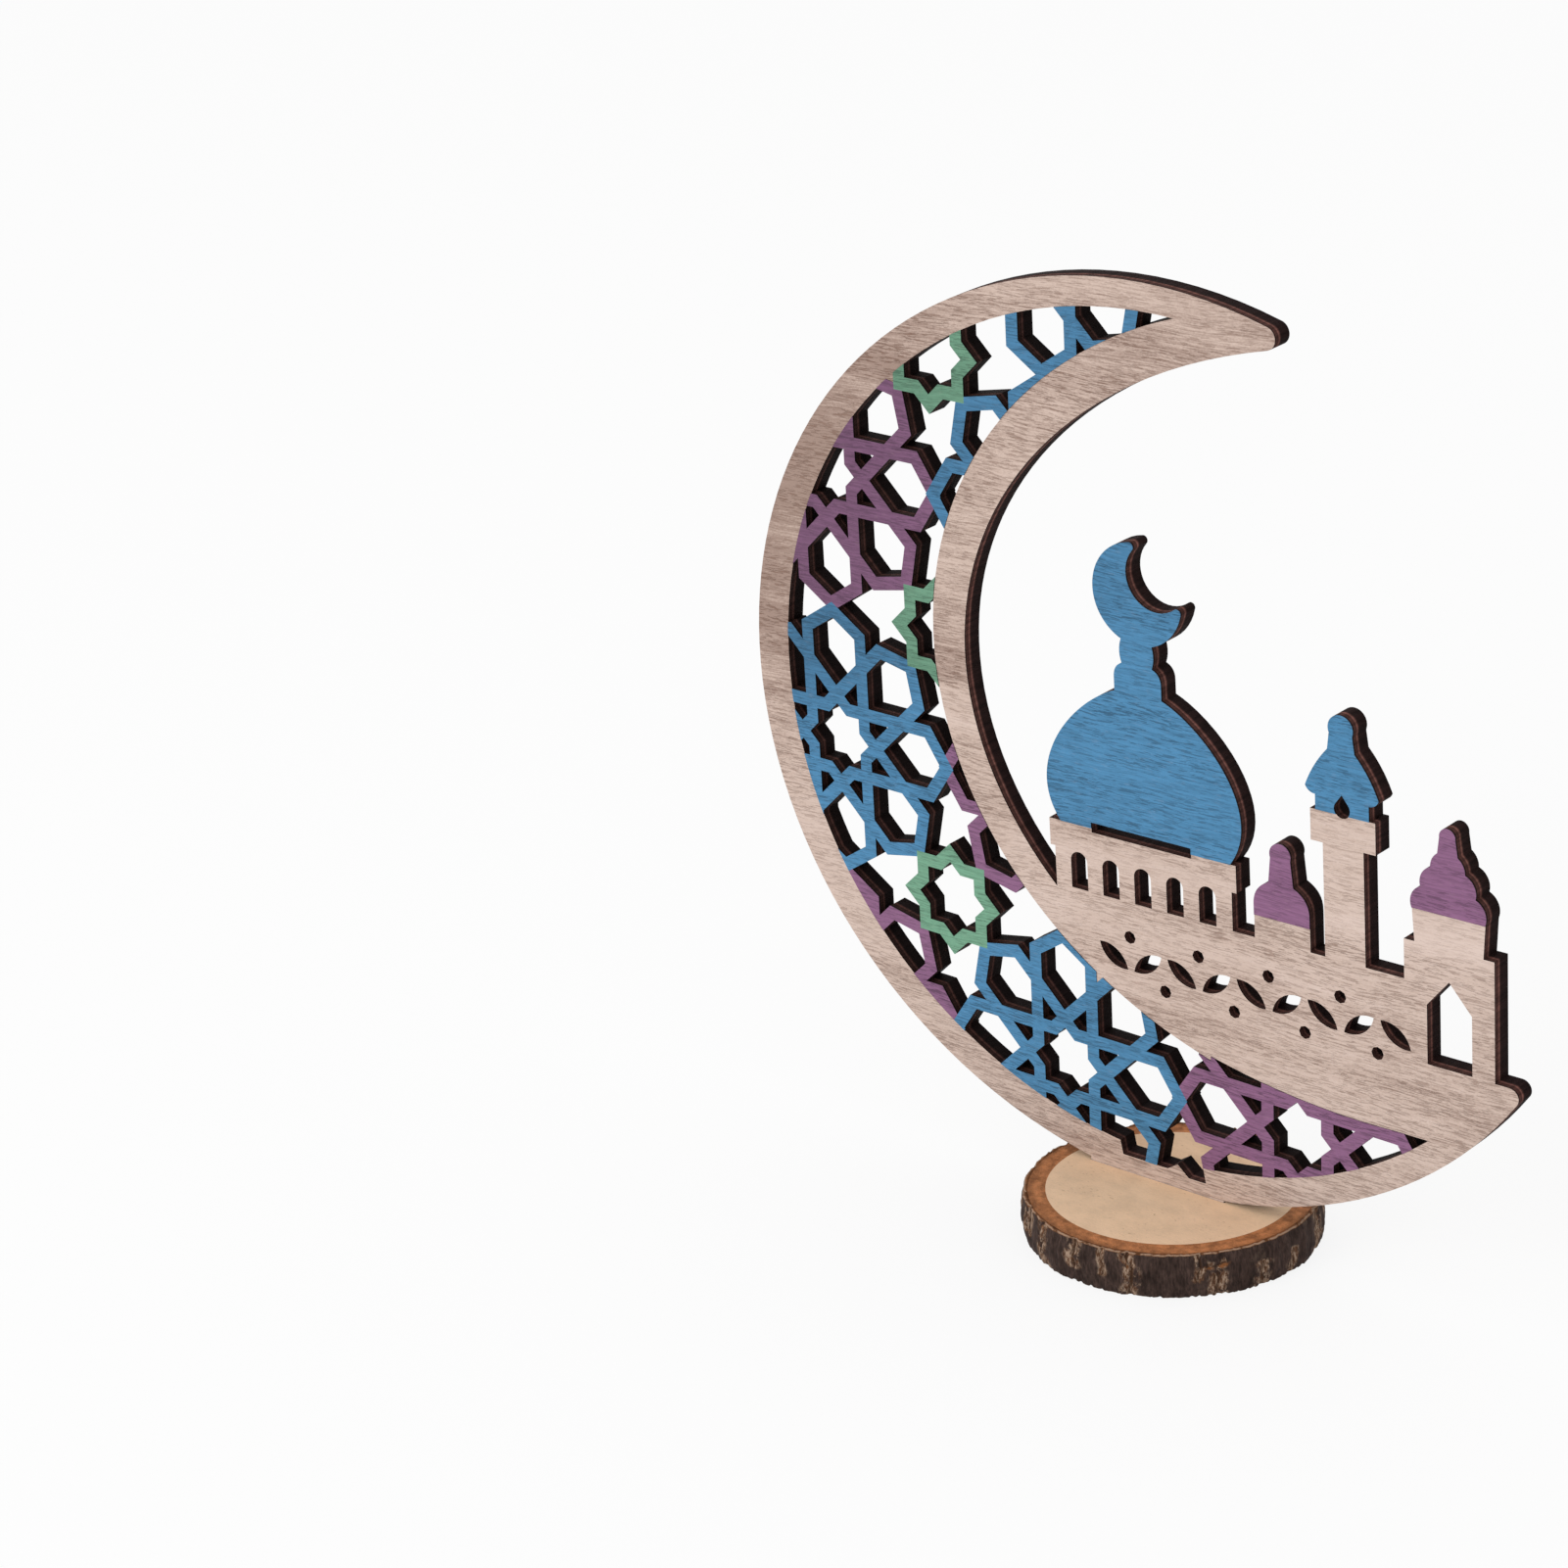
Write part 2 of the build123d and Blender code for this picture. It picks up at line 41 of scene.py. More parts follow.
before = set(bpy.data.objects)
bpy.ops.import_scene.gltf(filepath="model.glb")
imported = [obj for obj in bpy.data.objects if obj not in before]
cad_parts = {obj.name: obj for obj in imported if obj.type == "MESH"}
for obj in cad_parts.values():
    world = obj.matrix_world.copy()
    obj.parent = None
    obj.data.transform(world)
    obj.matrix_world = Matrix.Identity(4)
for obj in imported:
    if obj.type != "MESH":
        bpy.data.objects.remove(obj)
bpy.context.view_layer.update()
panel_low, panel_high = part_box("plywood_panel")
slice_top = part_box("wood_disc")[1].z

# Lengths are in metres
MM = 0.001
WHITE = (1.0, 1.0, 1.0, 1.0)

# A noise's middle level, and the levels between which most of it lies
NOISE_LOW = 0.3
NOISE_MIDDLE = 0.5
NOISE_HIGH = 0.7

# Part of a normal along an axis below which a face counts as a wall beside that axis
WALL_LIMIT = 0.5

# Veneer: how far its grain bends, and how much darker it is drawn at the panel's left side and in
# its upper part
GRAIN_BEND = 0.006
SIDE_DARK_WIDTH = 0.08
SIDE_DARK_FOOT = (0.085, 0.125)
SIDE_DARK_HEAD = (0.16, 0.2)
TOP_DARK_RISE = (0.1, 0.19)
SIDE_DARKNESS = 0.15
TOP_DARKNESS = 0.07

# Cut edges: how far the plies waver, and the ovals of the crescent's rim and mouth
PLY_WAVER = 0.0003
RIM_HALF = (0.1083, 0.1026)
MOUTH_HALF = (0.1146, 0.0834)
MOUTH_SHIFT = (0.0666, 0.0128)


def colour(label, about, default):
    """A colour that a user may change."""
    return bpy.props.FloatVectorProperty(
        name=label, description=about, subtype="COLOR", size=3, min=0.0, max=1.0, default=default
    )


def length(label, about, default):
    """A length in metres that a user may change."""
    return bpy.props.FloatProperty(
        name=label,
        description=about,
        unit="LENGTH",
        subtype="DISTANCE",
        precision=5,
        default=default,
    )


def portion(label, about, default):
    """A share between none and all that a user may change."""
    return bpy.props.FloatProperty(
        name=label, description=about, subtype="FACTOR", min=0.0, max=1.0, default=default
    )


class PlywoodLook(bpy.types.PropertyGroup):
    """Colours of the panel's veneer and of its charred edges"""

    pale: colour("Pale wood", "Palest bands of the veneer", (0.69, 0.55, 0.485))
    middle: colour("Middle wood", "Common tone of the veneer", (0.59, 0.457, 0.39))
    dark: colour("Dark wood", "Darkest bands of the veneer", (0.35, 0.248, 0.206))
    pore: colour("Pores", "Short dark dashes of the grain", (0.2, 0.112, 0.082))
    char: colour("Char", "Burnt skin of the cut edges", (0.0114, 0.0051, 0.0048))
    strip: colour("Ply strip", "Paler front ply on the cut edges", (0.056, 0.0238, 0.0195))


class PaintLook(bpy.types.PropertyGroup):
    """Colours of the paint coats"""

    blue: colour("Blue", "Coat on the dome, the minaret and blue stars", (0.065, 0.212, 0.38))
    purple: colour("Purple", "Coat on the turret, the tower and purple stars", (0.23, 0.105, 0.2))
    green: colour("Green", "Coat on the small ring stars", (0.152, 0.324, 0.215))
    grain_share: portion(
        "Grain through paint", "Share of the veneer's pores that shows through a coat", 0.72
    )


class SliceLook(bpy.types.PropertyGroup):
    """Colours of the wood slice and the shape of its bark"""

    wood: colour("Slice wood", "Sanded end grain", (0.84, 0.585, 0.38))
    fleck: colour("Flecks", "Small brown flecks of the end grain", (0.45, 0.25, 0.125))
    inner: colour("Inner bark", "Red-brown ring round the wood", (0.41, 0.158, 0.058))
    bark: colour("Bark", "Dark outer bark", (0.043, 0.026, 0.021))
    flake: colour("Flakes", "Dry pale flakes beside the cracks", (0.3, 0.21, 0.15))
    crack: colour("Cracks", "Rusty floor of the cracks", (0.14, 0.066, 0.034))
    oval_turn: bpy.props.FloatProperty(
        name="Oval turn",
        description="Turn of the slice's long axis from X",
        subtype="ANGLE",
        default=math.radians(18.0),
    )
    swell: length("Swell", "How far the bark stands out at its middle height", 0.0007)
    crack_depth: length("Crack depth", "Depth of the bark's upright cracks", 0.0009)
    crack_count: bpy.props.IntProperty(
        name="Cracks",
        description="Number of upright cracks round the bark",
        min=0,
        max=80,
        default=22,
    )
    seed: bpy.props.IntProperty(name="Seed", description="Start of the crack pattern", default=7)


class StageLook(bpy.types.PropertyGroup):
    """Floor, light and camera"""

    floor: colour("Floor", "Plain pale floor", (0.9, 0.9, 0.9))
    floor_glow: portion(
        "Floor glow",
        "Share of plain white in the floor as it is seen, which leaves its shadow soft",
        0.85,
    )
    sky: bpy.props.FloatProperty(
        name="Sky light",
        description="Level of the even light from all round",
        min=0.0,
        default=0.84,
    )
    key_power: bpy.props.FloatProperty(
        name="Key light",
        description="Power of the large soft lamp in front",
        unit="POWER",
        min=0.0,
        default=10.0,
    )
    camera_place: bpy.props.FloatVectorProperty(
        name="Camera place",
        description="Where the camera stands",
        subtype="TRANSLATION",
        unit="LENGTH",
        size=3,
        default=(0.485737, -0.637477, 0.443378),
    )
    camera_turn: bpy.props.FloatVectorProperty(
        name="Camera turn",
        description="How the camera is turned",
        subtype="EULER",
        size=3,
        default=(math.radians(67.40616), math.radians(4.08158), math.radians(41.17234)),
    )
    lens: bpy.props.FloatProperty(
        name="Lens",
        description="Focal length of the camera in millimetres",
        unit="CAMERA",
        min=1.0,
        default=94.819,
    )


class OrnamentLook(bpy.types.PropertyGroup):
    """All settings of the ornament"""

    plywood: bpy.props.PointerProperty(type=PlywoodLook, name="Plywood", description="Panel")
    paint: bpy.props.PointerProperty(type=PaintLook, name="Paint", description="Paint coats")
    slice: bpy.props.PointerProperty(
        type=SliceLook, name="Slice", description="Wood slice and bark"
    )
    stage: bpy.props.PointerProperty(
        type=StageLook, name="Stage", description="Floor, light and camera"
    )


def rgba(shade, factor=1.0):
    """A colour with its alpha, made lighter or darker by a factor."""
    return (shade[0] * factor, shade[1] * factor, shade[2] * factor, 1.0)


def feed(tree, sockets, values):
    """Gives input sockets plain values or other nodes' outputs."""
    for key, value in values.items():
        if isinstance(value, bpy.types.NodeSocket):
            tree.links.new(value, sockets[key])
        else:
            sockets[key].default_value = value


def place(tree, kind, values=None, **settings):
    """A node with its settings and what its inputs are fed."""
    node = tree.nodes.new(kind)
    for name, value in settings.items():
        setattr(node, name, value)
    feed(tree, node.inputs, values or {})
    return node


def waves(tree, vector, per_mm, detail=2.0, roughness=0.5):
    """Noise with its own number of waves to the millimetre along each axis."""
    scale = [number / MM for number in per_mm]
    mapped = place(tree, "ShaderNodeMapping", {"Vector": vector, "Scale": scale}).outputs[0]
    values = {"Vector": mapped, "Scale": 1.0, "Detail": detail, "Roughness": roughness}
    return place(tree, "ShaderNodeTexNoise", values).outputs[0]


def span(tree, value, low, high, first=0.0, last=1.0):
    """A value that goes smoothly from first to last while another goes from low to high."""
    values = {"Value": value, "From Min": low, "From Max": high, "To Min": first, "To Max": last}
    return place(tree, "ShaderNodeMapRange", values, interpolation_type="SMOOTHSTEP").outputs[0]


def maths(tree, operation, first, second=0.0):
    """One sum of two values."""
    return place(tree, "ShaderNodeMath", {0: first, 1: second}, operation=operation).outputs[0]


def times(tree, first, second):
    """One value times another."""
    return maths(tree, "MULTIPLY", first, second)


def blended(tree, first, second, share):
    """Two values mixed, with a share of the first and the rest of the second."""
    return maths(tree, "ADD", times(tree, first, share), times(tree, second, 1.0 - share))


def along(tree, vector, axis):
    """A vector's part along one axis."""
    return place(tree, "ShaderNodeSeparateXYZ", {0: vector}).outputs[axis]


def distance(tree, vector):
    """A vector's length."""
    return place(tree, "ShaderNodeVectorMath", {0: vector}, operation="LENGTH").outputs["Value"]


def mixed(tree, share, first, second, way="MIX"):
    """Two colours mixed."""
    values = {0: share, 6: first, 7: second}
    return place(tree, "ShaderNodeMix", values, data_type="RGBA", blend_type=way).outputs[2]


def shaded(tree, base, level):
    """A colour made lighter or darker by a value."""
    grey = place(tree, "ShaderNodeCombineColor", {0: level, 1: level, 2: level}).outputs[0]
    return mixed(tree, 1.0, base, grey, "MULTIPLY")


def ramp(tree, value, stops):
    """A colour ramp with stops of place and colour."""
    node = place(tree, "ShaderNodeValToRGB", {"Fac": value})
    elements = node.color_ramp.elements
    while len(elements) < len(stops):
        elements.new(1.0)
    for element, (where, shade) in zip(elements, stops):
        element.position = where
        element.color = shade
    return node.outputs["Color"]


def bump(tree, height, depth, strength):
    """A normal from a height."""
    values = {"Height": height, "Distance": depth, "Strength": strength}
    return place(tree, "ShaderNodeBump", values).outputs[0]


def new_group(name, vectors, numbers):
    """A node group from vectors to values, and its inner input and output sockets."""
    tree = bpy.data.node_groups.new(name, "ShaderNodeTree")
    for label in vectors:
        tree.interface.new_socket(name=label, in_out="INPUT", socket_type="NodeSocketVector")
    for label in numbers:
        tree.interface.new_socket(name=label, in_out="OUTPUT", socket_type="NodeSocketFloat")
    return tree, tree.nodes.new("NodeGroupInput").outputs, tree.nodes.new("NodeGroupOutput").inputs


def grouped(tree, name, values):
    """A placed node group's outputs."""
    return place(tree, "ShaderNodeGroup", values, node_tree=bpy.data.node_groups[name]).outputs


def new_material(name):
    """A material with its tree and its shader."""
    material = bpy.data.materials.new(name)
    material.use_nodes = True
    return material, material.node_tree, material.node_tree.nodes["Principled BSDF"]


def object_space(tree):
    """A point's place and normal in the object's own space."""
    coordinates = place(tree, "ShaderNodeTexCoord").outputs
    return coordinates["Object"], coordinates["Normal"]


def left_and_top_darkening(tree, vector):
    """Where the panel is drawn darker: a soft stripe at its left side, and its upper part."""
    across = along(tree, vector, "X")
    upward = along(tree, vector, "Z")
    side = span(tree, across, panel_low.x, panel_low.x + SIDE_DARK_WIDTH, SIDE_DARKNESS, 0.0)
    above = span(tree, upward, *SIDE_DARK_FOOT)
    below = span(tree, upward, *SIDE_DARK_HEAD, 1.0, 0.0)
    stripe = times(tree, side, times(tree, above, below))
    return maths(tree, "ADD", stripe, span(tree, upward, *TOP_DARK_RISE, 0.0, TOP_DARKNESS))


def veneer_grain_group():
    """Grain across the panel: slow bands, a darkening at its left side and top, fine lines, short
    pores and their height.
    """
    outputs = ["Tone", "Darkening", "Lines", "Pores", "Height"]
    tree, given, made = new_group("Veneer Grain", ["Vector"], outputs)
    vector = given["Vector"]
    swing = waves(tree, vector, (0.014, 0.02, 0.022), 3.0)
    bend = times(tree, maths(tree, "SUBTRACT", swing, NOISE_MIDDLE), GRAIN_BEND)
    offset = place(tree, "ShaderNodeCombineXYZ", {"Z": bend}).outputs[0]
    ends = {0: vector, 1: offset}
    wavy = place(tree, "ShaderNodeVectorMath", ends, operation="ADD").outputs[0]
    bands = waves(tree, wavy, (0.006, 0.4, 0.1), 5.0, 0.62)
    blotches = waves(tree, wavy, (0.016, 0.3, 0.03))
    lines = waves(tree, wavy, (0.12, 0.9, 3.0), 3.0, 0.62)
    dashes = waves(tree, wavy, (0.34, 1.3, 3.8))
    fuzz = waves(tree, wavy, (1.7, 1.7, 2.4))
    slow = blended(tree, bands, blotches, 0.62)
    fine = blended(tree, lines, fuzz, 0.7)
    crowd = span(tree, bands, 0.68, 0.36, 0.3, 1.0)
    pores = times(tree, span(tree, dashes, 0.53, 0.64), crowd)
    results = {
        "Tone": blended(tree, slow, fine, 0.56),
        "Darkening": left_and_top_darkening(tree, vector),
        "Lines": lines,
        "Pores": pores,
        "Height": maths(tree, "SUBTRACT", times(tree, lines, 0.35), pores),
    }
    feed(tree, made, results)


def oval_share(tree, vector, middle, half):
    """How far out in an upright oval a point is: one on the oval's line."""
    values = {
        "Vector": vector,
        "Location": (-middle[0] / half[0], 0.0, -middle[1] / half[1]),
        "Scale": (1.0 / half[0], 0.0, 1.0 / half[1]),
    }
    return distance(tree, place(tree, "ShaderNodeMapping", values).outputs[0])


def cut_edge_group():
    """Where a sheet is cut: its walls, their depth, the beam's streaks and the narrow lattice,
    which sets where the walls get painted shade.
    """
    outputs = ["Wall", "Depth", "Streaks", "Lattice"]
    tree, given, made = new_group("Cut Edge", ["Vector", "Normal"], outputs)
    vector = given["Vector"]
    facing = maths(tree, "ABSOLUTE", along(tree, given["Normal"], "Y"))
    waver = times(tree, waves(tree, vector, (0.12, 0.1, 0.12)), PLY_WAVER)
    front = panel_low.y + PLY_WAVER / 2
    behind = maths(tree, "ADD", maths(tree, "SUBTRACT", along(tree, vector, "Y"), front), waver)
    rim_middle = (panel_low.x + RIM_HALF[0], panel_high.z - RIM_HALF[1])
    mouth_middle = (rim_middle[0] + MOUTH_SHIFT[0], rim_middle[1] + MOUTH_SHIFT[1])
    rim_share = oval_share(tree, vector, rim_middle, RIM_HALF)
    mouth_share = oval_share(tree, vector, mouth_middle, MOUTH_HALF)
    # The lattice field between rim and mouth, where the walls get painted shade
    in_rim = span(tree, rim_share, 0.94, 0.965, 1.0, 0.0)
    off_mouth = span(tree, mouth_share, 1.015, 1.03)
    results = {
        "Wall": maths(tree, "LESS_THAN", facing, WALL_LIMIT),
        "Depth": maths(tree, "DIVIDE", behind, panel_high.y - panel_low.y),
        "Streaks": waves(tree, vector, (1.1, 0.08, 1.1), 3.0, 0.65),
        "Lattice": times(tree, in_rim, off_mouth),
    }
    feed(tree, made, results)


def bark_fibre_group():
    """Fibres that run up the slice: a mottled tone and fine strands."""
    tree, given, made = new_group("Bark Fibre", ["Vector"], ["Tone", "Strands"])
    results = {
        "Tone": waves(tree, given["Vector"], (0.42, 0.42, 0.2), 4.0, 0.62),
        "Strands": waves(tree, given["Vector"], (2.3, 2.3, 0.5), 3.0, 0.6),
    }
    feed(tree, made, results)


def sheet_effects(tree):
    """Outputs of the veneer's grain and of the cut edges, and the place they are at."""
    vector, normal = object_space(tree)
    grain = grouped(tree, "Veneer Grain", {"Vector": vector})
    edge = grouped(tree, "Cut Edge", {"Vector": vector, "Normal": normal})
    return grain, edge, vector


def wall_colour(tree, edge, look):
    """Colour of a charred wall: a dark skin with the paler front ply and a painted highlight line
    across it, painted light on the open walls and painted shade in the narrow lattice.
    """
    stops = [
        (0.0, rgba(look.char, 0.8)),
        (0.05, rgba(look.char, 0.8)),
        (0.08, rgba(look.strip)),
        (0.24, rgba(look.strip, 0.8)),
        # Painted highlight: a bright line along the front ply
        (0.31, rgba(look.strip, 2.7)),
        (0.38, rgba(look.strip)),
        (0.44, rgba(look.char, 1.1)),
        (0.72, rgba(look.char)),
        (1.0, rgba(look.char, 0.7)),
    ]
    layers = ramp(tree, edge["Depth"], stops)
    streaks = span(tree, edge["Streaks"], 0.3, 0.72, 0.6, 1.4)
    # Painted light on the open walls and painted shade on the walls inside the narrow lattice
    lattice_shade = span(tree, edge["Lattice"], 0.0, 1.0, 1.25, 0.56)
    return shaded(tree, layers, times(tree, streaks, lattice_shade))


def dress(node_names, material):
    """Gives CAD nodes one material."""
    for name in node_names:
        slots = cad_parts[name].data.materials
        slots.clear()
        slots.append(material)


class ORNAMENT_OT_plywood(bpy.types.Operator):
    """Gives the panel its veneer faces and charred walls"""

    bl_idname = "ornament.plywood"
    bl_label = "Plywood panel"

    def execute(self, context):
        look = context.scene.ornament.plywood
        material, tree, shader = new_material("charred_plywood")
        grain, edge, _ = sheet_effects(tree)
        stops = [(0.36, rgba(look.dark)), (0.48, rgba(look.middle)), (0.62, rgba(look.pale))]
        # The veneer is drawn darker at the panel's left side and in its upper part
        face = ramp(tree, maths(tree, "SUBTRACT", grain["Tone"], grain["Darkening"]), stops)
        shown = times(tree, grain["Pores"], span(tree, grain["Darkening"], 0.0, 0.1, 0.5, 0.8))
        face = mixed(tree, shown, face, rgba(look.pore))
        wall = wall_colour(tree, edge, look)
        rough = times(tree, edge["Wall"], times(tree, edge["Streaks"], 1.6))
        height = maths(tree, "ADD", grain["Height"], rough)
        finish = {
            "Base Color": mixed(tree, edge["Wall"], face, wall),
            "Roughness": span(tree, grain["Tone"], NOISE_LOW, NOISE_HIGH, 0.82, 0.68),
            "Normal": bump(tree, height, 0.12 * MM, 0.8),
            "Specular IOR Level": 0.05,
        }
        feed(tree, shader.inputs, finish)
        dress(["plywood_panel"], material)
        return {"FINISHED"}


class ORNAMENT_OT_paint(bpy.types.Operator):
    """Gives the paint coats their colours, with the veneer's grain showing through"""

    bl_idname = "ornament.paint"
    bl_label = "Paint coats"

    def execute(self, context):
        look = context.scene.ornament
        coats = {
            "blue": (look.paint.blue, ["blue_star_paint", "dome_paint", "minaret_paint"]),
            "purple": (look.paint.purple, ["purple_star_paint", "turret_paint", "tower_paint"]),
            "green": (look.paint.green, ["green_star_paint"]),
        }
        for name, (shade, nodes) in coats.items():
            dress(nodes, self.coat(f"{name}_coat", shade, look))
        return {"FINISHED"}

    def coat(self, name, shade, look):
        """A thin matt coat, worn here and there and darker at the panel's left side and in its
        upper part.
        """
        material, tree, shader = new_material(name)
        grain, edge, vector = sheet_effects(tree)
        stops = [(0.36, rgba(shade, 0.83)), (0.5, rgba(shade)), (0.64, rgba(shade, 1.08))]
        tone = maths(tree, "SUBTRACT", grain["Tone"], times(tree, grain["Darkening"], 0.7))
        coat = ramp(tree, tone, stops)
        worn = waves(tree, vector, (0.35, 0.35, 1.6), 3.0, 0.6)
        thin = times(tree, span(tree, worn, 0.55, 0.75), 0.07)
        coat = mixed(tree, thin, coat, rgba(look.plywood.middle))
        coat = shaded(tree, coat, span(tree, grain["Lines"], 0.36, 0.62, 0.9, 1.06))
        # The coat is drawn darker at the panel's left side and in its upper part
        coat = shaded(tree, coat, span(tree, grain["Darkening"], 0.0, 0.14, 1.06, 0.8))
        shown = times(tree, grain["Pores"], look.paint.grain_share)
        coat = mixed(tree, shown, coat, rgba(shade, 0.35))
        finish = {
            "Base Color": mixed(tree, edge["Wall"], coat, rgba(look.plywood.char)),
            "Roughness": span(tree, grain["Tone"], NOISE_LOW, NOISE_HIGH, 0.7, 0.56),
            "Normal": bump(tree, grain["Height"], 0.08 * MM, 0.8),
            "Specular IOR Level": 0.2,
        }
        feed(tree, shader.inputs, finish)
        return material


class ORNAMENT_OT_slice_wood(bpy.types.Operator):
    """Gives the slice its sanded end grain and its ring of inner bark"""

    bl_idname = "ornament.slice_wood"
    bl_label = "Slice wood and inner bark"

    def execute(self, context):
        look = context.scene.ornament.slice
        self.end_grain(look)
        self.inner_bark(look)
        return {"FINISHED"}

    def end_grain(self, look):
        """Pale sanded wood with faint clouds, fine fuzz, small brown flecks and a dark slot."""
        material, tree, shader = new_material("sanded_end_grain")
        vector, normal = object_space(tree)
        mottle = waves(tree, vector, (0.13, 0.2, 0.2), 4.0, 0.6)
        fuzz = waves(tree, vector, (1.4, 2.2, 1.4), 3.0, 0.6)
        stops = [
            (NOISE_LOW, rgba(look.wood, 0.86)),
            (NOISE_MIDDLE, rgba(look.wood)),
            (NOISE_HIGH, rgba(look.wood, 1.1)),
        ]
        shade = ramp(tree, blended(tree, mottle, fuzz, 0.7), stops)
        strewn = span(tree, waves(tree, vector, (0.09, 0.12, 0.1)), 0.36, 0.62)
        specks = span(tree, waves(tree, vector, (1.0, 2.6, 1.2)), 0.64, 0.74)
        specks = times(tree, specks, times(tree, strewn, 0.7))
        shade = mixed(tree, specks, shade, rgba(look.fleck))
        upright = maths(tree, "ABSOLUTE", along(tree, normal, "Z"))
        walls = maths(tree, "LESS_THAN", upright, WALL_LIMIT)
        finish = {
            "Base Color": mixed(tree, times(tree, walls, 0.75), shade, rgba(look.fleck, 0.35)),
            "Roughness": span(tree, mottle, NOISE_LOW, NOISE_HIGH, 0.78, 0.62),
            "Normal": bump(tree, fuzz, 0.1 * MM, 0.5),
            "Specular IOR Level": 0.3,
        }
        feed(tree, shader.inputs, finish)
        dress(["wood_disc"], material)

    def inner_bark(self, look):
        """Red-brown fibres, a little darker beside the wood and darkest at the rim."""
        material, tree, shader = new_material("fibrous_inner_bark")
        vector, _ = object_space(tree)
        long_half, short_half = half_axes("inner_bark", look.oval_turn)
        rounding = {
            "Vector": vector,
            "Rotation": (0.0, 0.0, -look.oval_turn),
            "Scale": (1.0, long_half / short_half, 0.0),
        }
        radius = distance(tree, place(tree, "ShaderNodeMapping", rounding).outputs[0])
        ragged = times(tree, waves(tree, vector, (0.5, 0.5, 0.3), 3.0), 1.2 * MM)
        out = maths(tree, "ADD", radius, ragged)
        stops = [
            (0.0, rgba(look.inner, 1.1)),
            (0.12, rgba(look.inner, 0.9)),
            (0.45, rgba(look.inner, 1.1)),
            (0.8, rgba(look.inner)),
            (1.0, rgba(look.inner, 0.75)),
        ]
        layers = ramp(tree, span(tree, out, long_half - 3.4 * MM, long_half + 0.7 * MM), stops)
        fibre = grouped(tree, "Bark Fibre", {"Vector": vector})
        finish = {
            "Base Color": shaded(tree, layers, span(tree, fibre["Tone"], 0.28, 0.72, 0.62, 1.4)),
            "Roughness": span(tree, fibre["Tone"], NOISE_LOW, NOISE_HIGH, 0.9, 0.75),
            "Normal": bump(tree, fibre["Strands"], 0.25 * MM, 0.8),
            "Specular IOR Level": 0.25,
        }
        feed(tree, shader.inputs, finish)
        dress(["inner_bark"], material)


def half_axes(node_name, turn):
    """Long and short half of a CAD ring's oval, from its box and the turn of its long axis."""
    low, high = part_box(node_name)
    half_x = (high.x - low.x) / 2
    half_y = (high.y - low.y) / 2
    cos2, sin2 = math.cos(turn) ** 2, math.sin(turn) ** 2
    long_half = math.sqrt((half_x**2 * cos2 - half_y**2 * sin2) / (cos2 - sin2))
    short_half = math.sqrt((half_y**2 * cos2 - half_x**2 * sin2) / (cos2 - sin2))
    return long_half, short_half


def oval_radius(axes, angle, turn):
    """Radius of an oval at an angle."""
    return 1.0 / math.hypot(math.cos(angle - turn) / axes[0], math.sin(angle - turn) / axes[1])


def turn_from(middle, angle):
    """The shorter turn from one angle to another."""
    return (angle - middle + math.pi) % (2 * math.pi) - math.pi


def limited(value):
    """A value kept between none and one."""
    return min(1.0, max(0.0, value))


def bell(away, width, power=2):
    """One at no distance, which falls off round a width."""
    return math.exp(-((away / width) ** power))


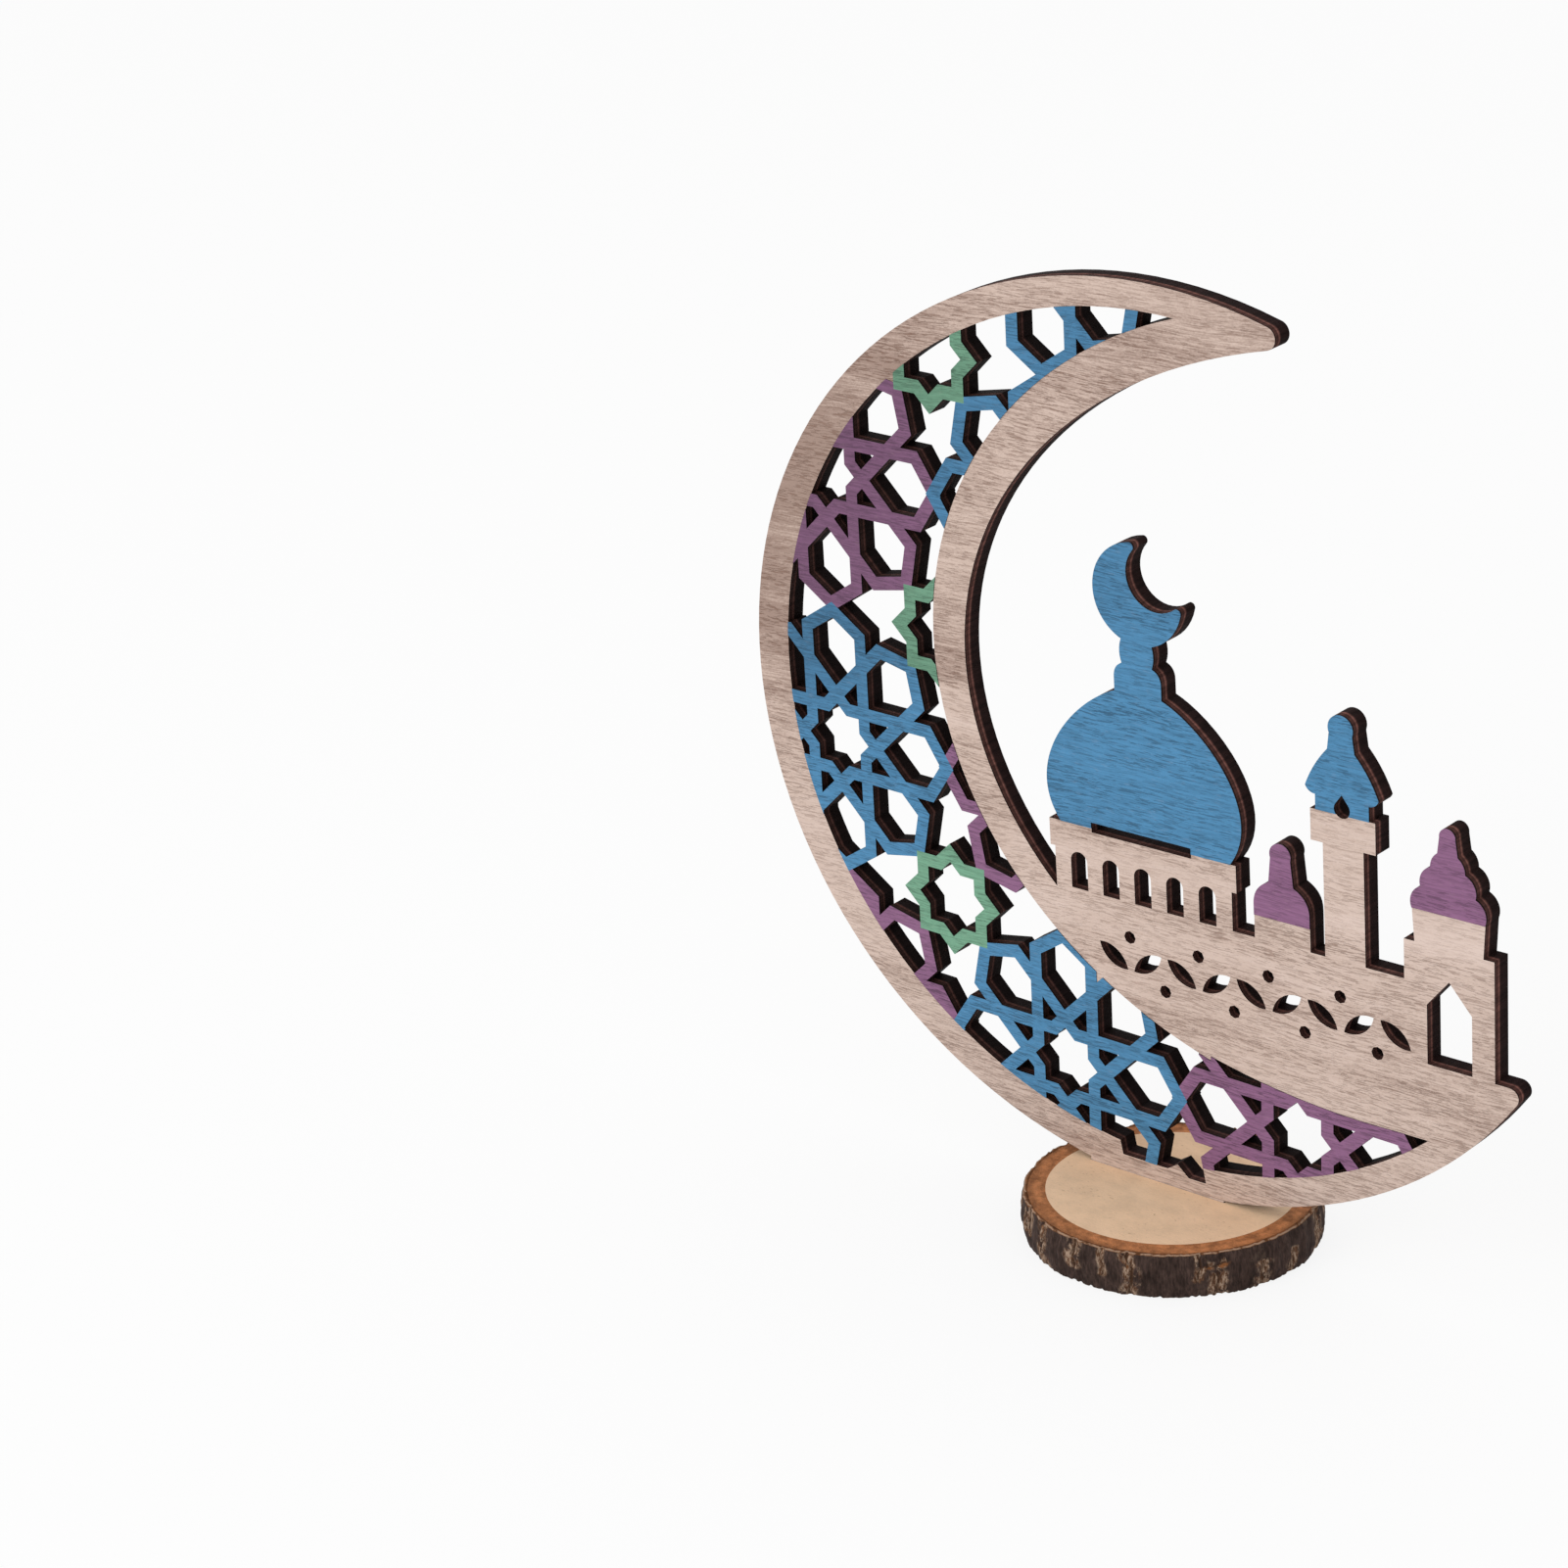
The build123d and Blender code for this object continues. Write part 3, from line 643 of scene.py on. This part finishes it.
class ORNAMENT_OT_bark(bpy.types.Operator):
    """Builds the rough outer bark with its upright cracks and dry flakes"""

    bl_idname = "ornament.bark"
    bl_label = "Outer bark"

    # Columns and rows of the mesh, and the least bark over the inner bark
    around = 600
    rows = 24
    least = 0.25 * MM

    # How far the foot and the top edge fray, and the sizes of the relief
    foot_fray = 0.8 * MM
    top_fray = 0.35 * MM
    lump = 0.5 * MM
    plate = 0.32 * MM
    grit = 0.1 * MM
    crumb = 0.35 * MM
    sunk = 0.15 * MM

    # Cracks: the angle they reach, the share of the height they fade in, and their widths
    crack_reach = 0.25
    crack_fade = 0.12
    crack_core = 0.55
    crack_flakes = 1.9
    split_core = 0.04
    split_flakes = 0.1

    def execute(self, context):
        look = context.scene.ornament.slice
        bark = self.build(look)
        bark.data.materials.append(self.skin(look))
        context.scene.collection.objects.link(bark)
        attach(bark, "base")
        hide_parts("outer_bark")
        return {"FINISHED"}

    def cracks_and_splits(self, look):
        """Upright cracks with angle, width, foot, head and depth, and level splits."""
        chance = random.Random(look.seed)
        cracks = []
        for k in range(look.crack_count):
            angle = 2 * math.pi * (k + chance.uniform(-0.4, 0.4)) / look.crack_count
            foot = chance.choice([-0.2, -0.2, -0.2, 0.3])
            head = chance.choice([1.2, 1.2, 1.2, 0.65])
            width = chance.uniform(0.5, 1.15) * MM
            cracks.append((angle, width, foot, head, chance.uniform(0.6, 1.0)))
        splits = []
        for _ in range(look.crack_count // 2):
            angle = chance.uniform(0.0, 2 * math.pi)
            reach = chance.uniform(1.5, 3.5) * MM
            splits.append((angle, chance.uniform(0.2, 0.8), reach, chance.uniform(0.35, 0.8)))
        return cracks, splits

    def build(self, look):
        """A ring whose outside swells, cracks and frays, round the inner bark."""
        cracks, splits = self.cracks_and_splits(look)
        outer = half_axes("outer_bark", look.oval_turn)
        inner = half_axes("inner_bark", look.oval_turn)
        mesh = bmesh.new()
        crack_layer = mesh.verts.layers.float.new("crack")
        flake_layer = mesh.verts.layers.float.new("flake")
        rim_layer = mesh.verts.layers.float.new("rim")
        fray = {0: self.foot_fray, self.rows: self.top_fray}
        columns = []
        for k in range(self.around):
            angle = 2 * math.pi * k / self.around
            way = Vector((math.cos(angle), math.sin(angle), 0.0))
            wall = oval_radius(inner, angle, look.oval_turn)
            edge = oval_radius(outer, angle, look.oval_turn)
            column = [mesh.verts.new(way * wall)]
            for row in range(self.rows + 1):
                share = row / self.rows
                height = slice_top * share
                crack, flake = self.crack_at(cracks, splits, angle, share, edge)
                crumbs = noise.noise(way * 45.0 + Vector((0.0, 0.0, 9.0 * share)))
                radius = edge + self.relief(way, height, share, look)
                radius += self.crumb * flake * crumbs - look.crack_depth * crack
                radius = max(radius, wall + self.least)
                frayed = noise.noise(way * 34.0 + Vector((0.0, 0.0, 3.0 * share)))
                level = max(height + fray.get(row, 0.0) * frayed, 0.0)
                vertex = mesh.verts.new(way * radius + Vector((0.0, 0.0, level)))
                vertex[crack_layer] = crack
                vertex[flake_layer] = flake
                vertex[rim_layer] = max(0.0, 1.0 - 14.0 * min(1.0 - share, share + 0.012))
                column.append(vertex)
            column.append(mesh.verts.new(way * wall + Vector((0.0, 0.0, slice_top))))
            columns.append(column)
        for k, column in enumerate(columns):
            beside = columns[(k + 1) % self.around]
            for row in range(len(column)):
                up = (row + 1) % len(column)
                mesh.faces.new((column[row], beside[row], beside[up], column[up]))
        bmesh.ops.recalc_face_normals(mesh, faces=mesh.faces)
        for face in mesh.faces:
            face.smooth = True
        data = bpy.data.meshes.new("rough_bark")
        mesh.to_mesh(data)
        mesh.free()
        return bpy.data.objects.new("rough_bark", data)

    def crack_at(self, cracks, splits, angle, share, edge):
        """How deep in a crack or a split, and how near one, a point of the bark is."""
        crack = 0.0
        flake = 0.0
        for middle, width, foot, head, depth in cracks:
            wander = 0.04 * noise.noise(Vector((middle * 9.0, share * 3.2, 0.0)))
            away = turn_from(middle + wander, angle)
            if abs(away) > self.crack_reach:
                continue
            rise = limited((share - foot) / self.crack_fade)
            fall = limited((head - share) / self.crack_fade)
            near = rise * fall * depth
            crack = max(crack, near * bell(away * edge, self.crack_core * width))
            flake = max(flake, near * bell(away * edge, self.crack_flakes * width))
        for middle, level, reach, depth in splits:
            drift = 0.12 * noise.noise(Vector((angle * 16.0, level * 9.0, 2.0)))
            near = depth * bell(turn_from(middle, angle) * edge, reach, 4)
            crack = max(crack, near * bell(share - level - drift, self.split_core))
            flake = max(flake, near * bell(share - level - drift, self.split_flakes))
        return crack, flake

    def relief(self, way, height, share, look):
        """How far the bark stands out: a swell at its middle, with lumps, plates and grit."""
        swell = look.swell * (1.0 - (2.0 * share - 1.0) ** 2)
        spot = way * 31.0 + Vector((0.0, 0.0, height / MM * 0.4))
        lumps = self.lump * noise.noise(spot * 0.16)
        plates = self.plate * noise.noise(spot * 0.55)
        grit = self.grit * noise.noise(spot * 1.9)
        return swell + lumps + plates + grit - self.sunk

    def skin(self, look):
        """Dark plates, dry flakes and dark floors along the cracks, a sawn top and a torn rim."""
        material, tree, shader = new_material("rough_bark")
        vector, normal = object_space(tree)
        fibre = grouped(tree, "Bark Fibre", {"Vector": vector})
        crack, flake, rim = (
            place(tree, "ShaderNodeAttribute", attribute_name=name).outputs["Fac"]
            for name in ("crack", "flake", "rim")
        )
        stops = [
            (NOISE_LOW, rgba(look.bark, 0.6)),
            (NOISE_MIDDLE, rgba(look.bark)),
            (NOISE_HIGH, rgba(look.bark, 1.45)),
        ]
        shade = ramp(tree, fibre["Tone"], stops)
        shade = shaded(tree, shade, span(tree, fibre["Strands"], 0.32, 0.68, 0.62, 1.4))
        patch = waves(tree, vector, (0.5, 0.5, 0.35), 4.0, 0.68)
        dry_stops = [
            (0.38, rgba(look.crack, 0.5)),
            (0.47, rgba(look.crack)),
            (0.54, rgba(look.flake)),
            (0.64, rgba(look.flake, 1.5)),
        ]
        dry = ramp(tree, waves(tree, vector, (1.6, 1.6, 0.6), 4.0, 0.72), dry_stops)
        broken = times(tree, flake, span(tree, patch, 0.34, 0.56))
        shade = mixed(tree, span(tree, broken, 0.08, 0.45, 0.0, 0.9), shade, dry)
        dust = span(tree, waves(tree, vector, (0.16, 0.16, 0.12), 5.0, 0.7), 0.58, 0.72)
        shade = mixed(tree, times(tree, dust, 0.25), shade, rgba(look.flake, 0.7))
        deep = times(tree, span(tree, crack, 0.3, 0.75), span(tree, patch, 0.45, 0.7, 1.0, 0.4))
        shade = mixed(tree, deep, shade, rgba(look.crack, 0.4))
        grime = span(tree, patch, NOISE_LOW, NOISE_HIGH, 0.5, 1.4)
        sawn = shaded(tree, rgba(look.inner, 0.5), grime)
        shade = mixed(tree, span(tree, along(tree, normal, "Z"), 0.3, 0.6), shade, sawn)
        torn = times(tree, span(tree, rim, 0.5, 0.95), span(tree, patch, 0.36, 0.54))
        rough = maths(tree, "ADD", fibre["Strands"], times(tree, fibre["Tone"], 1.4))
        finish = {
            "Base Color": mixed(tree, times(tree, torn, 0.85), shade, rgba(look.flake, 1.35)),
            "Roughness": span(tree, fibre["Tone"], NOISE_LOW, NOISE_HIGH, 0.92, 0.74),
            "Normal": bump(tree, rough, 0.3 * MM, 0.7),
            "Specular IOR Level": 0.12,
        }
        feed(tree, shader.inputs, finish)
        return material


class ORNAMENT_OT_stage(bpy.types.Operator):
    """Sets the floor, the light and the camera"""

    bl_idname = "ornament.stage"
    bl_label = "Stage"

    floor_half = 12.0
    floor_drop = 0.05 * MM
    key_size = 1.1
    key_place = (-0.5, -1.6, 0.85)
    key_aim = (0.0, 0.0, 0.1)
    sensor_width = 36.0
    clip = (0.01, 60.0)

    def execute(self, context):
        scene = context.scene
        look = scene.ornament.stage
        self.floor(scene, look)
        self.light(scene, look)
        self.camera(scene, look)
        scene.view_settings.view_transform = "Standard"
        return {"FINISHED"}

    def seen_rays(self, tree):
        """One for rays from the camera, a gloss or a glass."""
        path = place(tree, "ShaderNodeLightPath").outputs
        gloss = maths(tree, "ADD", path["Is Glossy Ray"], path["Is Transmission Ray"])
        return maths(tree, "MINIMUM", maths(tree, "ADD", path["Is Camera Ray"], gloss), 1.0)

    def floor(self, scene, look):
        """A wide pale floor that keeps the ornament's shadow."""
        mesh = bmesh.new()
        bmesh.ops.create_grid(mesh, x_segments=2, y_segments=2, size=self.floor_half)
        data = bpy.data.meshes.new("floor")
        mesh.to_mesh(data)
        mesh.free()
        floor = bpy.data.objects.new("floor", data)
        floor.location.z = -self.floor_drop
        material, tree, shader = new_material("pale_floor")
        finish = {"Base Color": rgba(look.floor), "Roughness": 0.9, "Specular IOR Level": 0.0}
        feed(tree, shader.inputs, finish)
        glow = place(tree, "ShaderNodeEmission", {"Color": WHITE, "Strength": 1.0}).outputs[0]
        share = times(tree, self.seen_rays(tree), look.floor_glow)
        both = place(tree, "ShaderNodeMixShader", {0: share, 1: shader.outputs[0], 2: glow})
        tree.links.new(both.outputs[0], tree.nodes["Material Output"].inputs["Surface"])
        data.materials.append(material)
        scene.collection.objects.link(floor)

    def light(self, scene, look):
        """An even sky and one large soft lamp in front."""
        world = bpy.data.worlds.new("even_sky")
        world.use_nodes = True
        scene.world = world
        tree = world.node_tree
        strength = span(tree, self.seen_rays(tree), 0.0, 1.0, look.sky, 1.0)
        feed(tree, tree.nodes["Background"].inputs, {"Color": WHITE, "Strength": strength})
        lamp = bpy.data.lights.new("key", "AREA")
        lamp.shape = "DISK"
        lamp.size = self.key_size
        lamp.energy = look.key_power
        key = bpy.data.objects.new("key", lamp)
        key.location = self.key_place
        aim = Vector(self.key_aim) - key.location
        key.rotation_euler = aim.to_track_quat("-Z", "Y").to_euler()
        scene.collection.objects.link(key)

    def camera(self, scene, look):
        """A camera at the height and side from which the painted front is seen."""
        data = bpy.data.cameras.new("camera")
        data.sensor_width = self.sensor_width
        data.lens = look.lens
        data.clip_start, data.clip_end = self.clip
        camera = bpy.data.objects.new("camera", data)
        camera.location = look.camera_place
        camera.rotation_euler = Euler(look.camera_turn, "XYZ")
        scene.collection.objects.link(camera)
        scene.camera = camera


class ORNAMENT_PT_steps(bpy.types.Panel):
    """Steps that dress the ornament"""

    bl_label = "Ornament"
    bl_idname = "ORNAMENT_PT_steps"
    bl_space_type = "VIEW_3D"
    bl_region_type = "UI"
    bl_category = "Ornament"

    def draw(self, context):
        for step in STEPS:
            self.layout.operator(step.bl_idname)
        settings = context.scene.ornament
        for group in (settings.plywood, settings.paint, settings.slice, settings.stage):
            box = self.layout.box()
            for name in group.__annotations__:
                box.prop(group, name)


STEPS = (
    ORNAMENT_OT_plywood,
    ORNAMENT_OT_paint,
    ORNAMENT_OT_slice_wood,
    ORNAMENT_OT_bark,
    ORNAMENT_OT_stage,
)
CLASSES = (PlywoodLook, PaintLook, SliceLook, StageLook, OrnamentLook, *STEPS, ORNAMENT_PT_steps)


def register():
    """Adds the classes and the scene's settings."""
    for kind in CLASSES:
        bpy.utils.register_class(kind)
    bpy.types.Scene.ornament = bpy.props.PointerProperty(type=OrnamentLook)


def unregister():
    """Takes the scene's settings and the classes away."""
    del bpy.types.Scene.ornament
    for kind in reversed(CLASSES):
        bpy.utils.unregister_class(kind)


def main():
    """Dresses the ornament step by step."""
    register()
    veneer_grain_group()
    cut_edge_group()
    bark_fibre_group()
    bpy.ops.ornament.plywood()
    bpy.ops.ornament.paint()
    bpy.ops.ornament.slice_wood()
    bpy.ops.ornament.bark()
    bpy.ops.ornament.stage()


if __name__ == "__main__":
    main()
